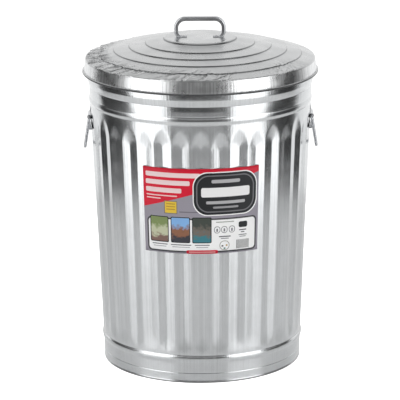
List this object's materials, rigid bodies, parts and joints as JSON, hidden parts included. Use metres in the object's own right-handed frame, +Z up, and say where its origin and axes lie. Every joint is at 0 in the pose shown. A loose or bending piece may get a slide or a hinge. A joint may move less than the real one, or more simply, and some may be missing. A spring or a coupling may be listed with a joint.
{
  "type": "galvanized waste can",
  "caption": "Fluted, tapering galvanized steel can with a loose stepped lid carrying a U handle, hinged wire bails at both sides and a printed label on the front.",
  "frame": {"origin": "on the floor under the middle of the can", "axes": "+Z up along the can's axis, the labelled front faces -Y, the side bails hang at -X and +X"},
  "size_m": [0.468, 0.468, 0.696],
  "materials": {
    "wall_sheet": "zinc coated sheet, bright satin, drawn streaks down the wall",
    "lid_sheet": "zinc coated sheet, bright satin, slightly crinkled",
    "wire": "zinc coated wire, satin",
    "plate": "zinc coated pressed steel, satin",
    "rivet": "bright satin",
    "label_print": "glossy printed film in red, grey and white"
  },
  "bodies": {
    "can": {"body_shell": "wall_sheet", "top_rim_wire": "wire", "bottom_pan": "wall_sheet", "base_hoop": "wall_sheet", "left_handle_plate": "plate", "right_handle_plate": "plate", "left_plate_rivets": "rivet", "right_plate_rivets": "rivet", "label": "label_print"},
    "lid": {"lid_shell": "lid_sheet", "lid_rim_wire": "wire", "lid_handle": "plate", "lid_handle_rivets": "rivet"},
    "left_bail": {"left_bail": "wire"},
    "right_bail": {"right_bail": "wire"}
  },
  "joints": [
    {"name": "lid_lift", "type": "slide", "parent": "can", "child": "lid", "axis": [0, 0, 1], "range_m": [0, 0.4]},
    {"name": "left_bail_swing", "type": "hinge", "parent": "can", "child": "left_bail", "pos_m": [-0.2208, 0, 0.4984], "axis": [0, 1, 0], "range_deg": [0, 150]},
    {"name": "right_bail_swing", "type": "hinge", "parent": "can", "child": "right_bail", "pos_m": [0.2208, 0, 0.4984], "axis": [0, -1, 0], "range_deg": [0, 150]}
  ]
}
